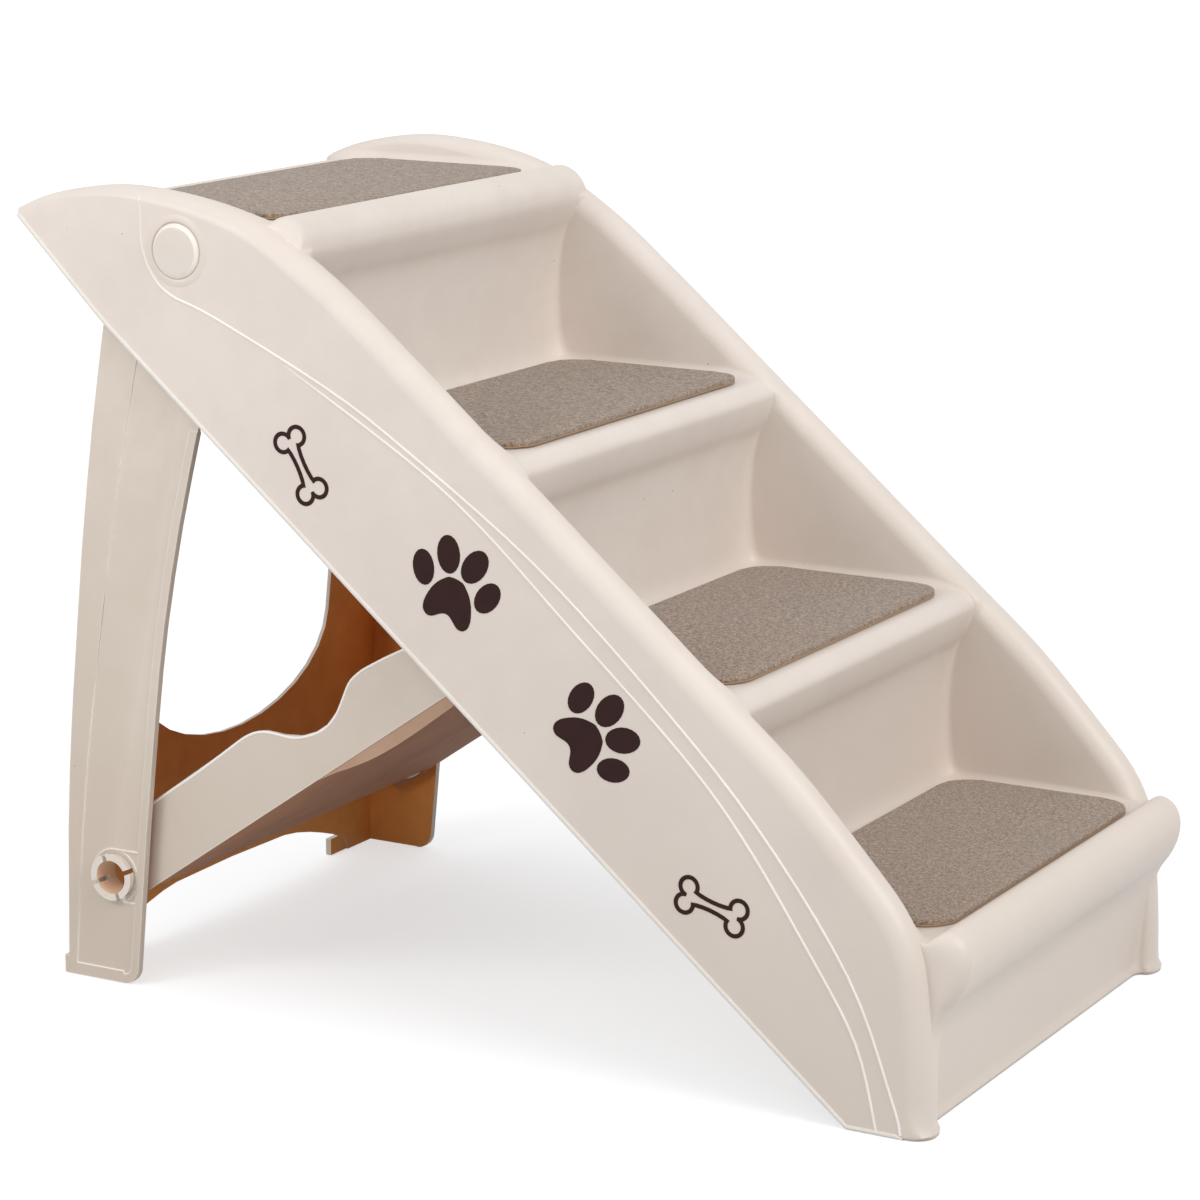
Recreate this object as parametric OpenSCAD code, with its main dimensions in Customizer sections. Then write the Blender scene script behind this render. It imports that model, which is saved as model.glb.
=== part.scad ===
/* [Steps] */
// Height from one tread to the next
step_rise = 126.5; // [118:0.5:134]
// Depth from one nosing to the next
step_run = 148; // [140:1:156]
// Height of the lowest tread above the floor
first_tread_height = 114.5; // [108:0.5:122]
// Depth of the top platform, from the rear edge to its nosing
platform_depth = 198; // [188:1:208]
// How far each nosing stands out over the riser below it
nosing_overhang = 18; // [14:0.5:21]
// Wall of the moulded step shell
shell_wall = 3; // [2.5:0.1:3.4]
// Depth of the stiffening ribs under the treads
tread_rib_depth = 6; // [3:0.5:7]
// Height of the lip that turns down at the rear of the platform
rear_lip_height = 13; // [10:0.5:16]

/* [Side rails] */
// Width over both rails
overall_width = 380; // [360:1:400]
// Thickness of each hollow rail
rail_thickness = 27; // [25:0.5:30]
// Height of the rail's crest over the top tread
crest_rise = 19; // [16:0.5:23]
// How far the edge bead and the styling lines stand out of the rail
bead_relief = 0.8; // [0.5:0.1:1.2]
// Width of the bead along the lower edge of the rail
bead_width = 4; // [3:0.5:6]
// Width of the styling lines on the rail
line_width = 1.6; // [1.2:0.1:2.4]
// How far the tip of the rail reaches behind the platform
tip_overhang = 2; // [1:0.5:4]

/* [Felt pads] */
// Thickness of the felt pads
pad_thickness = 4; // [3:0.5:5]
// Gap between the sides of the pads and the rails
pad_margin = 12; // [9:0.5:20]
// Depth of the three upper pads
pad_depth = 139; // [120:1:139]
// Depth of the lowest pad
last_pad_depth = 128; // [115:1:138]
// Radius of the pad corners
pad_corner = 24; // [12:1:34]

/* [Rear leg] */
// Distance of the main pivot in front of the platform's rear edge
pivot_setback = 117.5; // [112:0.5:123]
// Depth of the main pivot under the top tread
pivot_drop = 17; // [15:0.5:19]
// How far the rear of the foot stands behind the main pivot
leg_reach = 101; // [95:0.5:107]
// Gap between the leg frame and the outer wall of the rails
leg_gap = 5.2; // [4.8:0.1:6]
// Depth of the foot from rear to front
foot_depth = 58.5; // [55:0.5:63]
// Wall of the leg frame
leg_wall = 3; // [2.5:0.1:3.5]
// Width of the raised border round the side plates
leg_border = 6; // [5:0.5:9]
// Width of the opening in the rear panel
opening_width = 224; // [200:1:250]
// Height of the bottom of that opening above the floor
opening_floor = 123.5; // [115:1:140]
// Height of the arch between the feet
arch_height = 32; // [24:1:40]
// Width of the arch at the floor
arch_width = 294; // [270:1:310]

/* [Brace] */
// Height of the brace pivot above the floor
brace_pivot_height = 71; // [66:0.5:75]
// Depth of the brace's side walls below the pivot line
brace_below = 18.8; // [16:0.2:20]
// Height of the brace's side walls above the pivot line
brace_above = 29; // [26:0.5:30]
// Length of the full-width web, from the brace pivot
web_length = 256; // [235:1:258]
// Wall of the brace
brace_wall = 3; // [2.5:0.1:3.5]
// Distance of the latch post behind the second nosing
post_setback = 13; // [11:0.5:14]
// Height of the latch post over the third tread
post_height = 15; // [13:0.5:18]
// Radius of the latch posts
post_radius = 4.5; // [4:0.25:5]
// Play of the hook over its post
hook_play = 1; // [0.6:0.1:1.4]

/* [Pins] */
// Radius of the main pivot pin's shank
pin_radius = 8; // [6:0.25:9]
// Radius of the main pivot pin's head
pin_head_radius = 18.5; // [15:0.5:19]
// Outer radius of the hollow split pegs of the brace
peg_radius = 14.5; // [12:0.5:16]
// Radius of the bore of those pegs
peg_bore_radius = 11; // [9:0.5:11.5]
// Width of the slots that split the pins and pegs
split_width = 3; // [2:0.25:4]
// Radial clearance of a turning pin
turning_clearance = 0.05; // [0.02:0.01:0.1]

/* [Printed figures] */
// Length of the printed bones over their ends
bone_length = 48; // [45:1:70]
// Width of the printed paws
paw_width = 62; // [48:1:70]
// Width of the outline of the bones
outline_width = 2.6; // [1.4:0.1:3]
// Thickness of the printed figures
print_thickness = 0.3; // [0.2:0.05:0.5]

/* [Hidden] */
$fn = 48;
step_count = 4;
curve_steps = 2;
crest_steps = 7;
overrun = 1;
side_gap = 1;
rim_height = 4;
rim_relief = 2;
end_recess = 0.5;
ear_radius = 27;
pivot_boss_radius = 21;
pivot_boss_depth = 7;
ear_boss_radius = 14;
pin_head_depth = 2.4;
pin_chamfer = 0.8;
peg_boss_radius = 17.8;
peg_head_radius = 18;
peg_head_depth = 2;
barb_relief = 0.8;
barb_length = 2.4;
peg_barb_length = 4.7;
brace_hub_radius = 27;
ear_rear_angle = 140;
ear_front_angle = -15;
opening_round = 62;
knob_reach = 12;
knob_round = 9;
knob_depth = 46;
ledge_setback = 27;
foot_rim_height = 4;
ring_width = 1.4;
barb_gap = 0.3;
leg_panel_relief = 0.8;
border_growth = 26;
hem_height = 8;
leg_flange_depth = 5;
leg_crossbar_height = 36;
foot_lip_relief = 3;
foot_lip_height = 12;
foot_lip_width = 54;
rib_thickness = 2.2;
web_start = 14;
web_lip_start = 190;
web_lip_depth = 3;
hook_wall = 3;
brace_gap = 2.2;

// Main heights and lengths
top_tread_z = first_tread_height + (step_count - 1) * step_rise;
crest_z = top_tread_z + crest_rise;
front_x = platform_depth + (step_count - 1) * step_run;
centre_x = (front_x - tip_overhang) / 2;

// Layers across the width, from the inner face of a rail outwards
rail_outer_y = overall_width / 2 - bead_relief;
rail_inner_y = overall_width / 2 - rail_thickness;
rail_face_y = rail_inner_y + shell_wall;
crest_radius = (rail_outer_y - rail_inner_y) / 2;
crest_y = (rail_outer_y + rail_inner_y) / 2;
crest_skirt = crest_radius / 2;
leg_outer_y = rail_outer_y - shell_wall - leg_gap;
brace_inner_y = rail_face_y + brace_gap;
brace_outer_y = brace_inner_y + brace_wall;
flange_y = brace_outer_y + 2 * side_gap;

// Pivots: main pivot P, brace pivot Q and the latch post
pivot_x = pivot_setback;
pivot_z = top_tread_z - pivot_drop;
foot_rear_x = pivot_x - leg_reach;
brace_pivot_share = 0.653;
pin_slot_angles = [35, 125];
peg_slot_angles = [-22, 68];
brace_pivot_x = foot_rear_x + brace_pivot_share * foot_depth;
post_x = nose_x(1) - post_setback;
post_z = tread_z(2) + post_height;
hook_length = norm([post_x - brace_pivot_x, post_z - brace_pivot_height]);
hook_drop = 8.2;
brace_angle = atan2(post_z - brace_pivot_height, post_x - brace_pivot_x)
    + asin(hook_drop / hook_length);
brace_length = sqrt(hook_length * hook_length - hook_drop * hook_drop);

// Outline of the rail's crest, in shares of the front nosing's place and the crest's height
crest_rear_shares = [[-0.003, 0.969], [0.019, 0.981], [0.05, 0.991], [0.097, 1], [0.143, 1],
    [0.202, 0.991], [0.257, 0.973], [0.304, 0.943], [0.358, 0.898], [0.408, 0.848], [0.444, 0.811]];
crest_front_shares = [[0.743, 0.496], [0.777, 0.461], [0.838, 0.396], [0.906, 0.308],
    [0.942, 0.256], [0.961, 0.207], [0.968, 0.152], [0.973, 0.078], [0.975, 0]];
// Lower edge of the rail, in the same shares
rail_lower_shares = [[-0.003, 0.957], [0.044, 0.899], [0.093, 0.839], [0.898, 0]];
// Two styling lines on the outside of the rail, in the same shares
lower_line_shares = [[0.303, 0.806], [0.44, 0.708], [0.517, 0.64], [0.611, 0.536],
    [0.726, 0.408], [0.79, 0.32], [0.856, 0.203], [0.906, 0.102], [0.928, 0.004]];
upper_line_shares = [[0.142, 0.972], [0.143, 0.934], [0.154, 0.901], [0.175, 0.877],
    [0.226, 0.854], [0.351, 0.783], [0.435, 0.722], [0.571, 0.607], [0.695, 0.473],
    [0.803, 0.337], [0.897, 0.179], [0.943, 0.043], [0.952, 0.004]];
// Nosing and riser, in shares of the nosing's overhang and the rise
step_shares = [[-1.25, 0], [-0.72, -0.004], [-0.3, -0.022], [0, -0.075], [-0.08, -0.14],
    [-0.34, -0.235], [-0.67, -0.324], [-0.88, -0.47], [-0.96, -0.68], [-0.89, -0.84],
    [-0.78, -0.935], [-0.6, -0.985], [-0.3, -1]];
// Raised roll of the top nosing, in the same shares
top_step_shares = [[-1.34, 0], [-1.2, 0.03], [-0.95, 0.045], [-0.6, 0.041], [-0.22, 0.01],
    [0, -0.035], [0.05, -0.085], [-0.03, -0.145], [-0.34, -0.235], [-0.67, -0.324],
    [-0.88, -0.47], [-0.96, -0.68], [-0.89, -0.84], [-0.78, -0.935], [-0.6, -0.985], [-0.3, -1]];
// Raised roll of the lowest nosing and its riser, in shares of the overhang and the lowest tread's height
last_step_shares = [[-1.22, 0], [-1.1, 0.033], [-0.8, 0.053], [-0.45, 0.039], [-0.15, -0.005],
    [0, -0.07], [-0.01, -0.14], [-0.13, -0.212], [-0.37, -0.287], [-0.72, -0.37],
    [-1.05, -0.49], [-1.28, -0.68], [-1.42, -0.85], [-1.5, -1]];
// Rear lip of the platform, in shares of its height
lip_shares = [[0.1, -1], [0, -0.6], [0.06, -0.18], [0.4, 0]];
// Edges of the leg's side plate, in shares of the leg's reach and the pivot's height
leg_rear_shares = [[-1, 0], [-0.978, 0.201], [-0.934, 0.348], [-0.886, 0.453],
    [-0.821, 0.59], [-0.718, 0.759], [-0.615, 0.893]];
leg_front_shares = [[0.071, 0.764], [-0.075, 0.638], [-0.202, 0.501], [-0.282, 0.378],
    [-0.364, 0.224], [-0.409, 0.124], [-0.452, 0.025]];
// Arch between the feet, from the floor to its middle, in shares of its half width and height
arch_shares = [[-1, 0], [-0.985, 0.19], [-0.95, 0.34], [-0.885, 0.47], [-0.78, 0.63],
    [-0.667, 0.78], [-0.55, 0.9], [-0.44, 0.965], [0, 1]];
// Top edge of the brace's side wall, in shares of the brace's length and its height above the pivot
brace_top_shares = [[0.06, 0.93], [0.13, 0.94], [0.42, 1], [0.437, 0.99], [0.487, 0.52],
    [0.556, 0.37], [0.616, 0.56], [0.667, 0.84], [0.7, 0.95], [0.8, 0.81], [0.86, 0.5], [0.92, 0.16]];
// Distance of each pad's front edge behind its nosing, in shares of the overhang
pad_inset_shares = [1.5, 0.667, 0.722, 1.36];
// Places of the printed figures on the rail, in shares of the front nosing's place and the crest's height
bone_rear_shares = [0.321, 0.689];
paw_rear_shares = [0.49, 0.572];
paw_front_shares = [0.6405, 0.416];
bone_front_shares = [0.76, 0.234];
bone_rear_angle = -62.6;
bone_front_angle = -15.8;
paw_rear_angle = -18;
paw_front_angle = -62;
// Round ends of a bone, how far apart they are, and the upper side of its shaft, in shares of its length
bone_knob_share = 0.145;
bone_spread_share = 0.79;
bone_side_shares = [[-0.36, 0.155], [-0.29, 0.125], [-0.2, 0.1], [-0.1, 0.087], [0, 0.083],
    [0.1, 0.087], [0.2, 0.1], [0.29, 0.125], [0.36, 0.155]];
// Toes of a paw: place across, place up, half width and half height in shares of the paw's width, turn
paw_toe_shares = [[-0.374, 0, 0.119, 0.177, 24], [-0.153, 0.232, 0.127, 0.189, 21],
    [0.153, 0.232, 0.127, 0.189, -21], [0.374, 0, 0.119, 0.177, -24]];
// Pad of a paw, right half from the top down, in shares of the paw's width
paw_heel_shares = [[0, 0.036], [0.08, 0.026], [0.13, -0.014], [0.185, -0.072], [0.234, -0.16],
    [0.266, -0.27], [0.27, -0.33], [0.257, -0.387], [0.213, -0.427], [0.153, -0.426],
    [0.103, -0.392], [0.048, -0.351], [0, -0.338]];

function nose_x(k) = platform_depth + k * step_run;
function tread_z(k) = first_tread_height + (step_count - 1 - k) * step_rise;

// Points scaled from shares and moved to a place
function sized(shares, unit, place) =
    [for (s = shares) [place[0] + s[0] * unit[0], place[1] + s[1] * unit[1]]];

// One point of a smooth curve between b and c, with a and d as its neighbours
function curve_point(a, b, c, d, t) =
    (b * 2 + (c - a) * t + (a * 2 - b * 5 + c * 4 - d) * t * t
    + (b * 3 - a - c * 3 + d) * t * t * t) / 2;

// Smooth curve through every point of a path
function smooth(path, steps = curve_steps) = let (last = len(path) - 1) [
    for (i = [0:last - 1], j = [0:steps - 1])
        curve_point(path[max(i - 1, 0)], path[i], path[i + 1], path[min(i + 2, last)], j / steps),
    path[last]];

// Unit vector to the left of a path at point i
function left_of(path, i) = let (
    way = path[min(i + 1, len(path) - 1)] - path[max(i - 1, 0)])
    [-way[1], way[0]] / norm(way);

// Path moved sideways by a distance, to its left when positive
function moved(path, distance) = [for (i = [0:len(path) - 1]) path[i] + left_of(path, i) * distance];

function reversed(path) = [for (i = [len(path) - 1:-1:0]) path[i]];

// Closed band of a given width along a path
function band(path, width) = concat(moved(path, width / 2), reversed(moved(path, -width / 2)));

// Closed band between a path and its copy moved to the right by a wall
function wall_band(path, wall) = concat(path, reversed(moved(path, -wall)));

function arc(centre, radius, from, to, steps) = [for (i = [0:steps])
    centre + radius * [cos(from + (to - from) * i / steps), sin(from + (to - from) * i / steps)]];

rail_unit = [front_x, crest_z];
crest_path = concat(smooth(sized(crest_rear_shares, rail_unit, [0, 0])),
    smooth(sized(crest_front_shares, rail_unit, [0, 0])));
rail_lower_path = sized(rail_lower_shares, rail_unit, [0, 0]);
step_path = concat(
    smooth(sized(lip_shares, [rear_lip_height, rear_lip_height], [0, top_tread_z])),
    [for (k = [0:step_count - 2], p = smooth(sized(k == 0 ? top_step_shares : step_shares,
        [nosing_overhang, step_rise], [nose_x(k), tread_z(k)]))) p],
    smooth(sized(last_step_shares, [nosing_overhang, first_tread_height],
        [nose_x(step_count - 1), tread_z(step_count - 1)])));
leg_unit = [leg_reach, pivot_z];
leg_rear_path = smooth(sized(leg_rear_shares, leg_unit, [pivot_x, 0]));
leg_front_edge = smooth(sized(leg_front_shares, leg_unit, [pivot_x, 0]));
leg_toe = leg_front_edge[len(leg_front_edge) - 1];
leg_front_path = concat(leg_front_edge,
    [for (p = arc([leg_toe[0] - leg_toe[1], leg_toe[1]], leg_toe[1], 0, -90, 6)) if (p[1] < leg_toe[1]) p]);

// Flat outline in the side view, made solid from y = from to y = to
module across(from, to) {
    translate([0, to, 0])
        rotate([90, 0, 0])
            linear_extrude(to - from)
                children();
}

// Round bar across the width at a place in the side view
module bar(place, radius, from, to, end_radius = -1) {
    translate([place[0], to, place[1]])
        rotate([90, 0, 0])
            cylinder(h = to - from, r2 = radius, r1 = end_radius < 0 ? radius : end_radius);
}

module both_sides() {
    children();
    mirror([0, 1, 0])
        children();
}

// Half-round hollow crest of a rail, swept along the crest path
module crest_sweep() {
    outer = concat([[-crest_radius, -crest_radius - crest_skirt]],
        arc([0, -crest_radius], crest_radius, 180, 0, crest_steps),
        [[crest_radius, -crest_radius - crest_skirt]]);
    bore = crest_radius - shell_wall;
    inner = concat([[bore, -crest_radius - crest_skirt]],
        arc([0, -crest_radius], bore, 0, 180, crest_steps),
        [[-bore, -crest_radius - crest_skirt]]);
    ring = concat(outer, inner);
    count = len(ring);
    stations = len(crest_path);
    points = [for (i = [0:stations - 1], p = ring) let (
        at = crest_path[i],
        up = left_of(crest_path, i))
        [at[0] + up[0] * p[1], crest_y + p[0], at[1] + up[1] * p[1]]];
    sides = [for (i = [0:stations - 2], j = [0:count - 1]) let (
        a = i * count + j,
        b = i * count + (j + 1) % count)
        each [[a, b, a + count], [b, b + count, a + count]]];
    half = count / 2;
    ends = [for (j = [0:half - 2]) each [
        [j, count - 1 - j, j + 1], [j + 1, count - 1 - j, count - 2 - j]]];
    far = (stations - 1) * count;
    polyhedron(points = points, convexity = 6,
        faces = concat(sides, ends, [for (f = ends) [far + f[0], far + f[2], far + f[1]]]));
}

// Everything under the lower edge of the rails
module below_rails() {
    floor_x = rail_lower_path[3][0];
    reach = overall_width / 2;
    across(rail_inner_y - reach, rail_outer_y + reach)
        polygon(concat(rail_lower_path, [[floor_x, 0], [front_x + reach, 0],
            [front_x + reach, -reach], [-reach, -reach], [-reach, rail_lower_path[0][1]]]));
}

// Everything under the middle of the step shell's wall
module below_steps() {
    middle = moved(step_path, -shell_wall / 2);
    last = middle[len(middle) - 1];
    reach = overall_width / 2;
    across(-reach, reach)
        polygon(concat(middle, [[last[0], -reach], [-reach, -reach], [-reach, middle[0][1]]]));
}

// Plate that closes the rear end of the swept crest
module crest_end() {
    start = crest_path[0];
    way = crest_path[1] - start;
    radius = crest_radius - shell_wall / 2;
    translate([start[0], crest_y, start[1]])
        rotate([0, -atan2(way[1], way[0]), 0])
            rotate([90, 0, 90])
                translate([0, -crest_radius, end_recess])
                    linear_extrude(shell_wall)
                        polygon(concat(arc([0, 0], radius, 180, 0, crest_steps),
                            [[radius, -crest_skirt], [-radius, -crest_skirt]]));
}

module rail() {
    wall_top = moved(crest_path, -crest_radius - shell_wall);
    area = concat(wall_top, [[wall_top[len(wall_top) - 1][0], 0], [0, 0]]);
    difference() {
        union() {
            crest_sweep();
            crest_end();
            across(rail_outer_y - shell_wall, rail_outer_y)
                polygon(area);
            difference() {
                across(rail_inner_y, rail_face_y)
                    polygon(area);
                below_steps();
            }
        }
        below_rails();
        translate([0, 0, -overall_width])
            cube([2 * front_x, overall_width, overall_width]);
    }
}

// Rounded end of a nosing that stands proud of the rail
module nosing_knob(k) {
    front = nose_x(k) + overrun;
    side = rail_inner_y + knob_reach;
    rear = nose_x(k) - ledge_setback;
    intersection() {
        across(rail_inner_y - overrun, side)
            polygon(concat(step_path, [[step_path[0][0], 0]]));
        translate([0, 0, tread_z(k) - knob_depth])
            linear_extrude(knob_depth + ledge_setback)
                polygon(concat([[rear, rail_inner_y - overrun], [front, rail_inner_y - overrun]],
                    arc([front - knob_round, side - knob_round], knob_round, 0, 90, 6),
                    [[rear, side]]));
    }
}

// Bead along the lower edge and the two styling lines on the outside of a rail
module rail_lines() {
    edge = moved(rail_lower_path, bead_width / 2);
    foot = [[edge[3][0] - bead_width, bead_width / 2], [crest_path[len(crest_path) - 1][0]
        - crest_radius, bead_width / 2]];
    across(rail_outer_y, rail_outer_y + bead_relief) {
        difference() {
            polygon(band(edge, bead_width));
            translate([0, -2 * bead_width])
                square([front_x, 2 * bead_width]);
        }
        polygon(band(foot, bead_width));
        polygon(band(smooth(sized(lower_line_shares, rail_unit, [0, 0])), line_width));
        polygon(band(smooth(sized(upper_line_shares, rail_unit, [0, 0])), line_width));
    }
}

// Ribs under one tread, from a riser to the next nosing
module tread_ribs(k) {
    start = k == 0 ? rear_lip_height : nose_x(k - 1) + nosing_overhang;
    stop = nose_x(k) - 2 * nosing_overhang;
    spread = 2 * rail_inner_y / 4;
    for (i = [-1:1])
        translate([start, i * spread - rib_thickness / 2, tread_z(k) - shell_wall - tread_rib_depth])
            cube([stop - start, rib_thickness, tread_rib_depth + shell_wall / 2]);
}

// Flared rim round the foot of a rail's pillar
module pillar_rim() {
    front = crest_path[len(crest_path) - 1][0] - crest_radius;
    linear_extrude(foot_rim_height)
        difference() {
            polygon(concat(arc([front, crest_y], crest_radius + rim_relief / 2, -90, 90, 12),
                [[front - bead_width, rail_outer_y + bead_relief], [front - bead_width, rail_inner_y]]));
            polygon(concat(arc([front, crest_y], crest_radius - shell_wall, -90, 90, 12),
                [[front - 2 * bead_width, rail_outer_y - shell_wall],
                [front - 2 * bead_width, rail_face_y]]));
        }
}

module stair_body() {
    color([0.89, 0.85, 0.81])
        translate([-centre_x, 0, 0])
            difference() {
                union() {
                    across(-rail_face_y, rail_face_y)
                        polygon(wall_band(step_path, shell_wall));
                    both_sides() {
                        rail();
                        rail_lines();
                        nosing_knob(0);
                        nosing_knob(step_count - 1);
                        bar([pivot_x, pivot_z], pivot_boss_radius,
                            rail_outer_y - pivot_boss_depth, rail_outer_y);
                        bar([post_x, post_z], post_radius, rail_face_y - shell_wall / 2,
                            brace_outer_y + side_gap);
                    }
                    for (k = [0:step_count - 1])
                        tread_ribs(k);
                    translate([step_path[len(step_path) - 1][0] - shell_wall, -rail_inner_y, 0])
                        cube([shell_wall + rim_relief, 2 * rail_inner_y, rim_height]);
                    both_sides()
                        pillar_rim();
                }
                both_sides() {
                    bar([pivot_x, pivot_z], pin_radius + turning_clearance,
                        rail_outer_y - pivot_boss_depth - overrun, rail_outer_y + overrun);
                    bar([pivot_x, pivot_z], pin_head_radius + turning_clearance,
                        rail_outer_y - pin_head_depth, rail_outer_y + overrun);
                }
            }
}

// Outline of the leg's side plate without its round ear
module leg_outline() {
    polygon(concat(leg_rear_path,
        [[pivot_x, pivot_z] + ear_radius * [cos(ear_rear_angle), sin(ear_rear_angle)],
        [pivot_x, pivot_z] + ear_radius * [cos(ear_front_angle), sin(ear_front_angle)]],
        leg_front_path));
}

// One side of the leg frame: plate, raised border, ear, bosses and front flange
module leg_side() {
    recess = leg_outer_y - leg_panel_relief;
    across(recess - leg_wall, recess)
        leg_outline();
    bar([pivot_x, pivot_z], ear_radius, recess - leg_wall, recess);
    across(recess, leg_outer_y) {
        polygon(concat(leg_rear_path, [for (p = reversed(leg_rear_path))
            [p[0] + leg_border + border_growth * p[1] / pivot_z, p[1]]]));
        polygon(wall_band(leg_front_path, leg_border));
        translate([foot_rear_x, 0])
            square([leg_toe[0] - leg_toe[1] - foot_rear_x, hem_height]);
        translate([brace_pivot_x, brace_pivot_height])
            difference() {
                union() {
                    circle(r = peg_boss_radius);
                    for (z = [-peg_boss_radius, peg_boss_radius - ring_width])
                        translate([0, z])
                            square([peg_boss_radius + ring_width, ring_width]);
                }
                circle(r = peg_boss_radius - ring_width);
            }
    }
    across(leg_outer_y - leg_flange_depth, recess)
        polygon(wall_band(leg_front_path, leg_wall));
    bar([pivot_x, pivot_z], ear_boss_radius, flange_y, leg_outer_y);
    bar([brace_pivot_x, brace_pivot_height], peg_boss_radius, flange_y, recess);
    translate([foot_rear_x - foot_lip_relief, leg_outer_y - foot_lip_width, 0])
        cube([foot_lip_relief + leg_wall / 2, foot_lip_width, foot_lip_height]);
}

module leg_frame() {
    panel_top = leg_rear_path[len(leg_rear_path) - 1][1];
    opening_top = panel_top - leg_crossbar_height;
    corner = opening_width / 2;
    reach = leg_reach;
    arch = sized(arch_shares, [arch_width / 2, arch_height], [0, 0]);
    color([0.84, 0.78, 0.72])
        translate([-centre_x, 0, 0])
            difference() {
                union() {
                    both_sides()
                        leg_side();
                    difference() {
                        across(-leg_outer_y + leg_panel_relief, leg_outer_y - leg_panel_relief)
                            polygon(wall_band(leg_rear_path, leg_wall));
                        translate([foot_rear_x - reach, 0, 0])
                            rotate([90, 0, 90])
                                linear_extrude(2 * reach) {
                                    polygon(concat(
                                        [for (a = [0:12:180]) [corner * cos(a),
                                            opening_top - opening_round + opening_round * sin(a)]],
                                        [for (a = [180:12:360]) [corner * cos(a),
                                            opening_floor + opening_round + opening_round * sin(a)]]));
                                    polygon(concat([[-arch_width / 2, -overrun]], arch,
                                        [for (p = reversed(arch)) if (p[0] < 0) [-p[0], p[1]]],
                                        [[arch_width / 2, -overrun]]));
                                }
                    }
                }
                translate([-reach, -overall_width, -reach])
                    cube([4 * reach, 2 * overall_width, reach]);
                both_sides() {
                    bar([pivot_x, pivot_z], pin_radius + turning_clearance,
                        flange_y - overrun, leg_outer_y + overrun);
                    bar([brace_pivot_x, brace_pivot_height], peg_radius + turning_clearance,
                        flange_y - overrun, leg_outer_y + overrun);
                }
            }
}

// Side wall of the brace with its hook, drawn along the pivot line from the brace pivot
module brace_outline() {
    above = smooth(sized(brace_top_shares, [brace_length, brace_above], [0, 0]));
    hook_x = brace_length;
    hook_y = -hook_drop;
    hook_radius = post_radius + hook_play;
    slot_radius = post_radius + hook_play / 2;
    tip = hook_radius + hook_wall;
    difference() {
        union() {
            circle(r = brace_hub_radius);
            polygon(concat([[0, -brace_below]], [[0, brace_hub_radius]], above,
                arc([hook_x, hook_y], tip, 90, -105, 9), [[hook_x - tip, -brace_below]]));
        }
        translate([-brace_above - overrun, -brace_above - brace_below])
            square([2 * brace_above + overrun, brace_above]);
        translate([hook_x, hook_y])
            circle(r = hook_radius);
        translate([hook_x, hook_y])
            rotate(-90 - brace_angle)
                translate([0, -slot_radius])
                    square([2 * tip + brace_below, 2 * slot_radius]);
    }
}

module brace() {
    color([0.85, 0.79, 0.73])
        translate([brace_pivot_x - centre_x, 0, brace_pivot_height])
            rotate([0, -brace_angle, 0])
                difference() {
                    union() {
                        both_sides()
                            across(brace_inner_y, brace_outer_y)
                                brace_outline();
                        translate([web_start, -brace_outer_y, -brace_below])
                            cube([web_length - web_start, 2 * brace_outer_y, brace_wall]);
                        translate([web_lip_start, -brace_outer_y, -brace_below - web_lip_depth])
                            cube([brace_wall, 2 * brace_outer_y, web_lip_depth + brace_wall]);
                        for (x = [web_start, web_length - brace_wall])
                            translate([x, -brace_outer_y, -brace_below])
                                cube([brace_wall, 2 * brace_outer_y, 2 * brace_wall]);
                    }
                    both_sides()
                        bar([0, 0], peg_radius + turning_clearance,
                            brace_inner_y - overrun, brace_outer_y + overrun);
                }
}

// Slots that split the springy end of a pin, drawn round the Y axis at the origin
module end_slots(radius, from, to, angles) {
    for (a = angles)
        rotate([0, a, 0])
            translate([-radius, from, -split_width / 2])
                cube([2 * radius, to - from, split_width]);
}

module pivot_pin() {
    tip_y = flange_y - barb_length;
    shank_y = rail_outer_y - pin_head_depth;
    color([0.87, 0.82, 0.77])
        translate([pivot_x - centre_x, 0, pivot_z])
            difference() {
                union() {
                    bar([0, 0], pin_head_radius - pin_chamfer, rail_outer_y - pin_chamfer, rail_outer_y,
                        pin_head_radius - pin_chamfer);
                    bar([0, 0], pin_head_radius, shank_y, rail_outer_y - pin_chamfer);
                    bar([0, 0], pin_radius, tip_y, shank_y);
                    bar([0, 0], pin_radius + barb_relief, tip_y, flange_y - barb_gap, pin_radius);
                }
                end_slots(pin_radius + overrun, tip_y - overrun, flange_y + barb_length,
                    pin_slot_angles);
            }
}

module brace_peg() {
    head_y = brace_inner_y - peg_head_depth;
    tip_y = leg_outer_y + peg_barb_length;
    color([0.9, 0.85, 0.78])
        translate([brace_pivot_x - centre_x, 0, brace_pivot_height])
            difference() {
                union() {
                    bar([0, 0], peg_head_radius, head_y, brace_inner_y);
                    bar([0, 0], peg_radius, brace_inner_y, tip_y);
                    bar([0, 0], peg_radius, leg_outer_y + barb_gap, tip_y, peg_radius + barb_relief);
                }
                bar([0, 0], peg_bore_radius, head_y - overrun, tip_y + overrun);
                end_slots(peg_radius + barb_relief + overrun, flange_y, tip_y + overrun,
                    peg_slot_angles);
            }
}

// Felt pad on step k, counted from the top
module tread_pad(k) {
    depth = k == step_count - 1 ? last_pad_depth : pad_depth;
    front = nose_x(k) - pad_inset_shares[k] * nosing_overhang;
    half = rail_inner_y - pad_margin;
    corner = pad_corner;
    color([0.62, 0.56, 0.5])
        translate([-centre_x, 0, tread_z(k)])
            linear_extrude(pad_thickness)
                polygon(concat(
                    arc([front - corner, half - corner], corner, 0, 90, 6),
                    arc([front - depth + corner, half - corner], corner, 90, 180, 6),
                    arc([front - depth + corner, corner - half], corner, 180, 270, 6),
                    arc([front - corner, corner - half], corner, 270, 360, 6)));
}

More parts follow.
